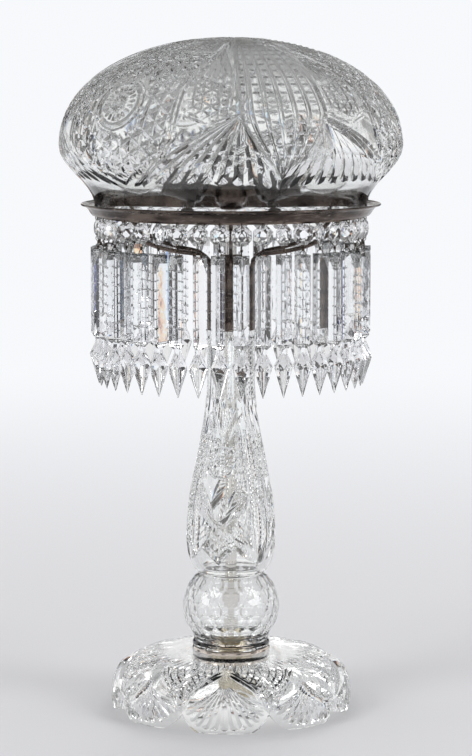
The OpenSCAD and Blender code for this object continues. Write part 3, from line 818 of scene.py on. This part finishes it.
def hang_tree():
    """Turns button, wires and prism each their own way, then carries them out to their place on the ring."""
    tree = bpy.data.node_groups.new("Hang drop", "GeometryNodeTree")
    tree.interface.new_socket("Nothing", in_out="INPUT", socket_type="NodeSocketGeometry")
    keys = {"part": socket(tree, "Part", "NodeSocketObject"),
            "turn": socket(tree, "Turn", "NodeSocketFloat", 0.0),
            "circle": socket(tree, "Circle radius", "NodeSocketFloat", DROP_CIRCLE * MM),
            "round": socket(tree, "Place on ring", "NodeSocketFloat", 0.0),
            "finish": socket(tree, "Finish", "NodeSocketMaterial")}
    tree.interface.new_socket("Drop", in_out="OUTPUT", socket_type="NodeSocketGeometry")
    new, link = tree.nodes.new, tree.links.new
    given, out, seen = new("NodeGroupInput"), new("NodeGroupOutput"), new("GeometryNodeObjectInfo")
    link(given.outputs["Part"], seen.inputs["Object"])
    last = seen.outputs["Geometry"]
    for angle, shift in (("Turn", "Circle radius"), ("Place on ring", None)):
        turn, move = new("ShaderNodeCombineXYZ"), new("GeometryNodeTransform")
        link(given.outputs[angle], turn.inputs["Z"])
        link(turn.outputs[0], move.inputs["Rotation"])
        if shift:
            out_by = new("ShaderNodeCombineXYZ")
            link(given.outputs[shift], out_by.inputs["X"])
            link(out_by.outputs[0], move.inputs["Translation"])
        link(last, move.inputs["Geometry"])
        last = move.outputs[0]
    real, paint = new("GeometryNodeRealizeInstances"), new("GeometryNodeSetMaterial")
    link(last, real.inputs[0])
    link(real.outputs[0], paint.inputs["Geometry"])
    link(given.outputs["Finish"], paint.inputs["Material"])
    link(paint.outputs[0], out.inputs[0])
    return tree, keys


DROP_CIRCLE = 117.5
DROPS = 40
DROP_FIRST = -85.5
WIRE_R = 0.35


def ring_path(radius, centre_z, count=20):
    """Points of a loop that stands upright."""
    a = np.linspace(0, 2 * math.pi, count + 1) + math.pi / 2
    return np.stack([np.zeros(len(a)), radius * np.cos(a), centre_z + radius * np.sin(a)], 1)


def wire_mesh(tree, keys, name, paths):
    verts, edges, base = [], [], 0
    for path in paths:
        verts.append(path)
        edges += [(base + k, base + k + 1) for k in range(len(path) - 1)]
        base += len(path)
    mesh = bpy.data.meshes.new(name)
    mesh.from_pydata((np.concatenate(verts) * MM).tolist(), edges, [])
    piece = bpy.data.objects.new(name, mesh)
    bpy.context.scene.collection.objects.link(piece)
    step = piece.modifiers.new("wire", "NODES")
    step.node_group = tree
    step[keys["radius"]], step[keys["sides"]], step[keys["finish"]] = WIRE_R * MM, 6, FINISH["wire"]
    finish_modifiers(piece)
    return piece


def drop_wires():
    """Upper ring; lower link of two loops with a wrapped shank between them."""
    tree, keys = wire_tree()
    shank = np.array([(0, 0, LINK_TOP_Z - 2.3), (0, 0, LINK_LOW_Z + 2.6)])
    a = np.linspace(0, 6 * math.pi, 30)
    heights = np.linspace(LINK_TOP_Z - 2.6, LINK_LOW_Z + 3.0, 30)
    wrap = np.stack([0.95 * np.cos(a), 0.95 * np.sin(a), heights], 1)
    return (wire_mesh(tree, keys, "wire_ring", [ring_path(2.6, PIVOT_Z)]),
            wire_mesh(tree, keys, "wire_link", [ring_path(2.3, LINK_TOP_Z, 18), shank, wrap]),
            wire_mesh(tree, keys, "wire_low", [ring_path(2.9, LINK_LOW_Z, 18)]))


def hang(tree, keys, name, part, finish, turn, swing, angle):
    mesh = bpy.data.meshes.new(name)
    piece = bpy.data.objects.new(name, mesh)
    bpy.context.scene.collection.objects.link(piece)
    step = piece.modifiers.new("hang", "NODES")
    step.node_group = tree
    step[keys["part"]], step[keys["finish"]] = part, FINISH[finish]
    step[keys["turn"]], step[keys["round"]] = math.radians(turn), math.radians(swing)
    finish_modifiers(piece)
    crisp(piece, angle)
    return piece


def joined(name, pieces):
    with bpy.context.temp_override(active_object=pieces[0], selected_editable_objects=pieces,
                                   selected_objects=pieces):
        bpy.ops.object.join()
    pieces[0].name = pieces[0].data.name = name
    return pieces[0]


# ---- finishes


def finish_of(name, colour, metallic=0.0, roughness=0.3, ior=1.5, transmission=0.0):
    m = bpy.data.materials.new(name)
    m.use_nodes = True
    shader = m.node_tree.nodes["Principled BSDF"]
    shader.inputs["Base Color"].default_value = (*colour, 1)
    shader.inputs["Metallic"].default_value = metallic
    shader.inputs["Roughness"].default_value = roughness
    shader.inputs["IOR"].default_value = ior
    shader.inputs["Transmission Weight"].default_value = transmission
    return m, shader


def noise(tree, scale, detail=3, stretch=None, rough=0.5):
    """Noise on the piece's own coordinates, stretched along an axis where the tool marks run that way."""
    place = tree.nodes.new("ShaderNodeTexCoord")
    last = place.outputs["Object"]
    if stretch:
        shape = tree.nodes.new("ShaderNodeMapping")
        shape.inputs["Scale"].default_value = stretch
        tree.links.new(last, shape.inputs["Vector"])
        last = shape.outputs[0]
    wave = tree.nodes.new("ShaderNodeTexNoise")
    wave.inputs["Scale"].default_value = scale
    wave.inputs["Detail"].default_value = detail
    wave.inputs["Roughness"].default_value = rough
    tree.links.new(last, wave.inputs["Vector"])
    return wave.outputs["Fac"]


def spread(tree, value, low, high, to_low, to_high):
    node = tree.nodes.new("ShaderNodeMapRange")
    node.interpolation_type = "SMOOTHSTEP"
    for name, number in (("From Min", low), ("From Max", high), ("To Min", to_low), ("To Max", to_high)):
        node.inputs[name].default_value = number
    tree.links.new(value, node.inputs["Value"])
    return node.outputs["Result"]


def bump(tree, shader, value, strength, distance):
    lift = tree.nodes.new("ShaderNodeBump")
    lift.inputs["Strength"].default_value = strength
    lift.inputs["Distance"].default_value = distance
    tree.links.new(value, lift.inputs["Height"])
    tree.links.new(lift.outputs["Normal"], shader.inputs["Normal"])


def blend(tree, value, first, second):
    """A mix by a value of two colours, each given as numbers or as a node's output."""
    mix = tree.nodes.new("ShaderNodeMix")
    mix.data_type = "RGBA"
    tree.links.new(value, mix.inputs["Factor"])
    for entry, colour in ((mix.inputs["A"], first), (mix.inputs["B"], second)):
        if isinstance(colour, tuple):
            entry.default_value = (*colour[:3], 1)
        else:
            tree.links.new(colour, entry)
    return mix.outputs["Result"]


def crystal(name, clear, cloudy, ior, wave_scale, polish_low=0.0):
    """Cut lead glass: a faint body colour, polish that isn't quite even and dust in the cuts."""
    m, shader = finish_of(name, clear, 0, 0.02, ior, 1.0)
    tree = m.node_tree
    tree.links.new(blend(tree, spread(tree, noise(tree, 14), 0.4, 0.7, 0, 1), clear, cloudy),
                   shader.inputs["Base Color"])
    bump(tree, shader, noise(tree, wave_scale, 2), 0.06, 0.0006)
    edge = tree.nodes.new("ShaderNodeNewGeometry")
    dust = spread(tree, edge.outputs["Pointiness"], 0.40, 0.485, 0.20, 0.0)
    polish = spread(tree, noise(tree, 180), 0.5, 0.8, polish_low, polish_low + 0.05)
    both = tree.nodes.new("ShaderNodeMath")
    both.operation = "MAXIMUM"
    tree.links.new(dust, both.inputs[0])
    tree.links.new(polish, both.inputs[1])
    tree.links.new(both.outputs[0], shader.inputs["Roughness"])
    return m


def worn_metal(name, dark, light, bare, roughness, grain=240, stretch=None, wear=0.60, bands=None):
    """Aged metal: tarnish in patches, small rubbed spots, fine scratches."""
    m, shader = finish_of(name, dark, 1.0, roughness)
    tree = m.node_tree
    patch = spread(tree, noise(tree, 26, 6, bands, 0.62), 0.38, 0.66, 0, 1)
    body = blend(tree, patch, dark, light)
    rubbed = spread(tree, noise(tree, 110, 7, bands, 0.72), wear, wear + 0.16, 0, 0.8)
    tree.links.new(blend(tree, rubbed, body, bare), shader.inputs["Base Color"])
    tree.links.new(spread(tree, noise(tree, 60, 5), 0.3, 0.75, roughness * 0.75, roughness * 1.45),
                   shader.inputs["Roughness"])
    bump(tree, shader, noise(tree, grain, 4, stretch), 0.16, 0.0003)
    return m


def plain_finish(name, first, second, roughness, grain):
    m, shader = finish_of(name, first, 0, roughness)
    tree = m.node_tree
    tree.links.new(blend(tree, spread(tree, noise(tree, 40), 0.35, 0.7, 0, 1), first, second),
                   shader.inputs["Base Color"])
    tree.links.new(spread(tree, noise(tree, 90), 0.3, 0.7, roughness * 0.8, roughness * 1.2),
                   shader.inputs["Roughness"])
    bump(tree, shader, noise(tree, grain, 3), 0.12, 0.0002)
    return m


FINISH = {
    "cut": crystal("Lead crystal", (0.99, 0.995, 0.99), (0.965, 0.975, 0.975), 1.55, 60, 0.045),
    "stem": crystal("Lead crystal of the standard", (0.99, 0.995, 0.99), (0.965, 0.975, 0.975), 1.55,
                    60, 0.02),
    "foot": crystal("Lead crystal of the base", (0.985, 0.99, 0.985), (0.95, 0.96, 0.96), 1.55, 60, 0.045),
    "drop": crystal("Drop crystal", (0.985, 0.99, 1.0), (0.97, 0.975, 0.975), 1.60, 90),
    "bulb": crystal("Bulb glass", (0.97, 0.97, 0.96), (0.94, 0.94, 0.92), 1.46, 30),
    "bronze": worn_metal("Dark bronze", (0.045, 0.036, 0.032), (0.17, 0.135, 0.115), (0.48, 0.42, 0.38),
                         0.2, wear=0.56, bands=(1, 1, 5)),
    "shell": worn_metal("Browned brass", (0.06, 0.056, 0.053), (0.13, 0.122, 0.115),
                        (0.32, 0.29, 0.25), 0.28),
    "nickel": worn_metal("Nickel plate", (0.76, 0.74, 0.71), (0.82, 0.80, 0.77), (0.88, 0.86, 0.83), 0.07,
                         300, (1, 1, 0.05)),
    "brass": worn_metal("Satin brass", (0.72, 0.65, 0.50), (0.84, 0.77, 0.63), (0.92, 0.86, 0.74), 0.2,
                        300, (1, 1, 0.1)),
    "silver": worn_metal("Silvered plate", (0.66, 0.58, 0.51), (0.80, 0.75, 0.70), (0.9, 0.88, 0.85), 0.10),
    "wire": worn_metal("Tarnished wire", (0.06, 0.05, 0.04), (0.16, 0.13, 0.10), (0.4, 0.34, 0.26),
                       0.38, 500),
    "ivory": plain_finish("Ivory bush", (0.70, 0.62, 0.45), (0.62, 0.54, 0.38), 0.5, 300),
}


def dress(finish, *pieces):
    for piece in pieces:
        if piece.name in nodes:
            for place in piece.material_slots:
                place.material = FINISH[finish]
        else:
            piece.data.materials.clear()
            piece.data.materials.append(FINISH[finish])


button, prism = button_mesh(), prism_mesh()
for piece in (button, prism):
    piece.data.transform(Matrix.Scale(MM, 4))
wire_ring, wire_link, wire_low = drop_wires()
tree, keys = hang_tree()
for i in range(DROPS):
    name = f"drop_{i + 1:02d}"
    swing = DROP_FIRST + 360 / DROPS * i
    turn = (i * 47) % 120
    glass = [hang(tree, keys, f"{name}_glass", button, "drop",
                  (8, -30, 20, -14, 38, 4, -24, 14, -6, 28)[i % 10], swing, 5),
             hang(tree, keys, f"{name}_bar", prism, "drop", turn, swing, 5)]
    wires = [hang(tree, keys, f"{name}_wire", wire_ring, "wire", 90, swing, 40),
             hang(tree, keys, f"{name}_link", wire_link, "wire", 90, swing, 40),
             hang(tree, keys, f"{name}_low", wire_low, "wire", turn + 90, swing, 40)]
    stand_for(joined(f"Drop_{i + 1:02d}_glass", glass), name, "drop_glass", name)
    stand_for(joined(f"Drop_{i + 1:02d}_wires", wires), name, "drop_wire", name)
for piece in (button, prism, wire_ring, wire_link, wire_low):
    bpy.data.objects.remove(piece)


# ---- the bulbs, each on its leaning holder

HUB_Z = 462.0
HOLDER_TURN = 74.0
BULB_MID = 86.0
BULB_R = 24.0
CAP_R = 13.0


def lathe(name, line, around_count):
    """A solid turned from a line that starts and ends on the axis."""
    return turned_solid(name, line[:-1], [line[-1]], around_count)


def bulb_pieces(side_name, way):
    """A clear bulb along its holder's axis: blown glass with a stem, a wire cage filament, a screw cap."""
    lean = Matrix.Rotation(math.radians(way * HOLDER_TURN), 4, "Y")
    def at_holder(piece):
        piece.data.transform(Matrix.Translation((0, 0, HUB_Z * MM)) @ lean)
        return piece
    middle, neck = BULB_MID, math.asin(CAP_R / BULB_R)
    ball = [(BULB_R * math.sin(a), middle - BULB_R * math.cos(a)) for a in np.linspace(math.pi, neck, 28)]
    ball[0] = (0.0, middle + BULB_R)
    outer = ball + [(CAP_R, 62.0), (CAP_R - 0.7, 58.0)]
    inner = [(max(r - 0.7, 0.0), z - (0.7 if k == 0 else 0.0)) for k, (r, z) in enumerate(ball)]
    inner += [(CAP_R - 1.0, 62.0), (CAP_R - 1.6, 58.0)]
    stem = [(0.0, 84.0), (1.4, 83.0), (1.6, 72.0), (3.2, 66.0), (7.5, 60.5), (7.5, 59.5), (0.0, 59.5)]
    blown = [turned_solid("shell", outer, inner, 40), lathe("stem", stem, 24)]
    glass = joined(f"Bulb_{side_name}_glass", blown)
    thread = [(CAP_R - 0.05 - 0.55 * (k % 2), 57.5 - 1.8 * k) for k in range(12)]
    contact = [(11.4, 34.0), (5.0, 29.4), (4.0, 29.0), (4.0, 26.4), (3.2, 26.0), (0.0, 26.0)]
    cap = lathe(f"Bulb_{side_name}_cap", [(0.0, 58.6), (CAP_R - 1.2, 58.6)] + thread + contact, 40)
    turn = np.radians(np.arange(9) * 40.0)
    cage = [(6.5 * math.cos(t), 6.5 * math.sin(t), 77.0 if k % 2 else 98.0) for k, t in enumerate(turn)]
    leads = [[(2.0, 0, 59.8), (2.4, 0, 70.0), cage[0]], [(-2.0, 0, 59.8), (-1.0, -2.0, 70.0), cage[-1]]]
    tree, keys = wire_tree()
    paths = [np.array(path) for path in [cage] + leads]
    wire = wire_mesh(tree, keys, f"Bulb_{side_name}_filament", paths)
    return at_holder(glass), at_holder(cap), at_holder(wire)


for side_name, way in (("left", -1), ("right", 1)):
    glass, cap, wire = bulb_pieces(side_name, way)
    for piece, angle, slot, finish in ((glass, 30, "bulb_glass", "bulb"), (cap, 40, "brass", "brass"),
                                       (wire, 40, "drop_wire", "wire")):
        crisp(piece, angle)
        stand_for(piece, "stand", slot, f"bulb_{side_name}")
        dress(finish, piece)

dress("cut", shade)
dress("stem", standard)
dress("foot", base)
for finish, names in (("bronze", "gallery_ring prism_rail ring_arms neck_collar cluster_body"),
                      ("silver", "foot_collar"),
                      ("shell", "lamp_holder_left lamp_holder_right switch_key_left switch_key_right"),
                      ("brass", "base_washers base_locknuts"), ("nickel", "centre_pipe pipe_couplings"),
                      ("ivory", "cord_bush")):
    dress(finish, *(nodes[name] for name in names.split()))


# ---- stage, light and camera

scene = bpy.context.scene
eye = bpy.data.cameras.new("Camera")
eye.sensor_fit, eye.sensor_height, eye.lens = "VERTICAL", 24.0, 24 * 2570 / 756
eye.clip_end = 60
camera = bpy.data.objects.new("Camera", eye)
camera.location, camera.rotation_euler = (0.0045, -2.280, 0.581), (math.radians(90 - 7.07), 0, 0)
scene.collection.objects.link(camera)
scene.camera = camera

BACKDROP = (0.93, 0.945, 0.97, 1)


def emitter(tree, colour):
    light = tree.nodes.new("ShaderNodeEmission")
    if isinstance(colour, tuple):
        light.inputs["Color"].default_value = colour
    else:
        tree.links.new(colour, light.inputs["Color"])
    return light.outputs["Emission"]


def shader_mix(tree, value, first, second):
    mix = tree.nodes.new("ShaderNodeMixShader")
    for k, source in enumerate((value, first, second)):
        tree.links.new(source, mix.inputs[k])
    return mix.outputs["Shader"]


def colour_ramp(tree, value, stops):
    """A ramp through (position, colour) stops, of which the first lies at 0 and the last at 1."""
    ramp = tree.nodes.new("ShaderNodeValToRGB")
    tree.links.new(value, ramp.inputs["Fac"])
    made = ramp.color_ramp.elements
    made[0].color, made[1].color = (*stops[0][1], 1), (*stops[-1][1], 1)
    for where, colour in stops[1:-1]:
        made.new(where).color = (*colour, 1)
    return ramp.outputs["Color"]


def reflected_only(piece, finish, colour):
    """Lets a stage piece shine in a colour that only glass and metal see."""
    tree = finish.node_tree
    tree.links.new(emitter(tree, colour), tree.nodes["Material Output"].inputs["Surface"])
    piece.data.materials.append(finish)
    piece.visible_camera = piece.visible_diffuse = piece.visible_shadow = False


def stage_piece(name, verts, faces):
    mesh = bpy.data.meshes.new(name)
    mesh.from_pydata(verts, [], faces)
    piece = bpy.data.objects.new(name, mesh)
    scene.collection.objects.link(piece)
    piece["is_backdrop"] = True
    return piece


floor = stage_piece("Floor", [(x * MM, y * MM, -0.0002) for x, y, _ in polygon(7000, 64, 0, 0)],
                    [tuple(range(64))])
paper, shader = finish_of("Floor paper", (0.60, 0.60, 0.615), 0, 0.9)
tree = paper.node_tree
place = tree.nodes.new("ShaderNodeTexCoord")
far = tree.nodes.new("ShaderNodeVectorMath"); far.operation = "LENGTH"
tree.links.new(place.outputs["Object"], far.inputs[0])
off = far.outputs["Value"]
sheet = shader_mix(tree, spread(tree, off, 0.3, 2.6, 0, 1), shader.outputs["BSDF"],
                   emitter(tree, BACKDROP))
# Painted light: a glowing disc on the floor under the base, brightest at its middle and fading out just past
# the rim, stands in for the light that passes through the glass base.
patch = blend(tree, spread(tree, off, 0.03, 0.095, 0, 1), (0.85, 0.85, 0.85), (0.50, 0.50, 0.51))
sheet = shader_mix(tree, spread(tree, off, 0.098, 0.124, 1, 0), sheet, emitter(tree, patch))
tree.links.new(sheet, tree.nodes["Material Output"].inputs["Surface"])
floor.data.materials.append(paper)


CARD_WIDTHS = (17, 12, 19, 14)
CARD_REACH = 2.4
CARD_TOP = 1.1
CARD_COLOURS = ((0, (1.0, 0.93, 0.65)), (0.035, (1.0, 0.62, 0.42)), (0.07, (0.38, 0.16, 0.13)),
                (0.12, (0.05, 0.045, 0.04)), (0.88, (0.05, 0.05, 0.055)), (0.93, (0.22, 0.22, 0.42)),
                (0.965, (0.45, 0.62, 0.9)), (1, (0.75, 0.97, 1.0)))


def flags():
    """Black cards round the set, for glass and metal alone. Their edges carry the colours of split light."""
    verts, faces, uvs = [], [], []
    for k, wide in enumerate(CARD_WIDTHS * 2):
        middle = 45 * k + 22.5
        a, b = (math.radians(middle + s * wide / 2) for s in (-1, 1))
        verts += [(CARD_REACH * math.cos(t), CARD_REACH * math.sin(t), z)
                  for t, z in ((a, 0), (b, 0), (b, CARD_TOP), (a, CARD_TOP))]
        faces.append(tuple(range(4 * k, 4 * k + 4)))
        uvs += [(0, 0), (1, 0), (1, 1), (0, 1)]
    cards = stage_piece("Flags", verts, faces)
    layer = cards.data.uv_layers.new(name="card")
    for k, uv in enumerate(uvs):
        layer.data[k].uv = uv
    black, shader = finish_of("Black card", (0.02, 0.02, 0.02), 0, 0.9)
    tree = black.node_tree
    place, split = tree.nodes.new("ShaderNodeUVMap"), tree.nodes.new("ShaderNodeSeparateXYZ")
    tree.links.new(place.outputs["UV"], split.inputs["Vector"])
    reflected_only(cards, black, colour_ramp(tree, split.outputs["X"], CARD_COLOURS))


flags()

HOOD_LEVELS = ((0.36, 0.36, 0.35), (0.18, 0.18, 0.17), (0.13, 0.125, 0.12), (0.20, 0.20, 0.20),
               (0.38, 0.38, 0.38))


def hood():
    """A grey hood over the set, seen only by glass and metal, and more by the shade than by the base."""
    rings = [(700, 640), (700, 900), (700, 1150), (480, 1300), (0.1, 1300)]
    verts = [(x * MM, y * MM, z * MM) for r, h in rings for x, y, z in polygon(r, 48, 0, h)]
    faces = [(48 * i + k, 48 * i + (k + 1) % 48, 48 * (i + 1) + (k + 1) % 48, 48 * (i + 1) + k)
             for i in range(len(rings) - 1) for k in range(48)]
    cover = stage_piece("Hood", verts, faces)
    grey, shader = finish_of("Grey hood", (0.2, 0.2, 0.2), 0, 0.9)
    tree = grey.node_tree
    place, split = tree.nodes.new("ShaderNodeTexCoord"), tree.nodes.new("ShaderNodeSeparateXYZ")
    tree.links.new(place.outputs["Object"], split.inputs["Vector"])
    height = spread(tree, split.outputs["Z"], 0.6, 1.3, 0, 1)
    levels = [(k / (len(HOOD_LEVELS) - 1), colour) for k, colour in enumerate(HOOD_LEVELS)]
    reflected_only(cover, grey, colour_ramp(tree, height, levels))


hood()

world = bpy.data.worlds.new("Studio")
scene.world = world
world.use_nodes = True
tree = world.node_tree
back = tree.nodes["Background"]
path = tree.nodes.new("ShaderNodeLightPath")
way = tree.nodes.new("ShaderNodeTexCoord")
split = tree.nodes.new("ShaderNodeSeparateXYZ")
tree.links.new(way.outputs["Generated"], split.inputs["Vector"])
levels = [(where, (level,) * 3) for where, level in ((0, 1), (0.08, 0.95), (0.25, 0.85), (0.5, 0.75),
                                                     (1, 0.6))]
room = colour_ramp(tree, split.outputs["Z"], levels)
room = blend(tree, path.outputs["Is Camera Ray"], room, BACKDROP)
room = blend(tree, path.outputs["Is Diffuse Ray"], room, (0.72, 0.72, 0.73))
tree.links.new(room, back.inputs["Color"])


def softbox(name, place, aim, size, watts):
    from mathutils import Vector
    lamp = bpy.data.lights.new(name, "AREA")
    lamp.shape, lamp.size, lamp.size_y, lamp.energy = "RECTANGLE", size[0], size[1], watts
    holder = bpy.data.objects.new(name, lamp)
    scene.collection.objects.link(holder)
    holder.location = place
    holder.rotation_euler = (Vector(aim) - Vector(place)).to_track_quat("-Z", "Y").to_euler()
    return holder


softbox("Softbox left", (-2.2, -1.6, 1.9), (0, 0, 0.3), (1.2, 1.6), 32)
softbox("Softbox right", (2.3, -1.2, 1.7), (0, 0, 0.3), (1.0, 1.6), 26)
softbox("Softbox back", (0.3, 2.4, 2.2), (0, 0, 0.3), (2.0, 1.0), 26)

scene.view_settings.view_transform = "Standard"
scene.cycles.max_bounces = 24
scene.cycles.transmission_bounces = 20
scene.cycles.glossy_bounces = 10

visual_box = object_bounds()
as_list = lambda box: [list(corner) for corner in box]
{"cad": as_list(cad_box), "visual": as_list(visual_box)}
